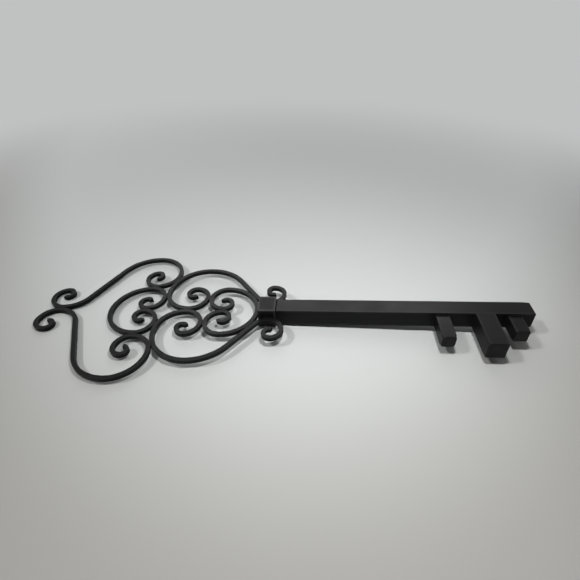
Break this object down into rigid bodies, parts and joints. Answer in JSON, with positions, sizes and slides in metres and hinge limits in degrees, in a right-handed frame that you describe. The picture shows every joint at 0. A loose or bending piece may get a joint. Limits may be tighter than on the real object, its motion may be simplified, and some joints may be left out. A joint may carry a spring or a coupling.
{
  "type": "decorative wall key",
  "caption": "Large decorative wall key of welded square bar and tube: scrolled openwork bow, square collar, straight shaft and bits on one side of its tip.",
  "frame": {"origin": "middle of the collar's back face, which is the key's lowest face", "axes": "+X along the shaft from the collar to the tip, +Z away from the wall that the back lies on, so the bits point to -Y"},
  "size_m": [0.9152, 0.3394, 0.04],
  "materials": {
    "bar_paint": "dark charcoal satin paint on square bar",
    "tube_paint": "dark charcoal satin paint on square tube",
    "bead_paint": "the same paint over weld beads"
  },
  "bodies": {
    "root": {"outer_scroll_bit_side": "bar_paint", "outer_scroll_plain_side": "bar_paint", "main_scroll_bit_side": "bar_paint", "main_scroll_plain_side": "bar_paint", "crown_c_scroll": "bar_paint", "neck_c_scroll": "bar_paint", "shaft_tube": "tube_paint", "shaft_end_cap": "tube_paint", "collar_sleeve": "tube_paint", "collar_end_plate": "tube_paint", "near_bit_tube": "tube_paint", "near_bit_cap": "tube_paint", "middle_bit_tube": "tube_paint", "middle_bit_cap": "tube_paint", "tip_bit_tube": "tube_paint", "tip_bit_cap": "tube_paint", "crown_weld": "bead_paint", "outer_scroll_welds_bit_side": "bead_paint", "outer_scroll_welds_plain_side": "bead_paint", "crown_c_welds": "bead_paint", "main_scroll_weld": "bead_paint", "neck_c_welds": "bead_paint", "collar_scroll_welds": "bead_paint", "collar_shaft_weld": "bead_paint", "bit_root_welds": "bead_paint"}
  },
  "joints": []
}
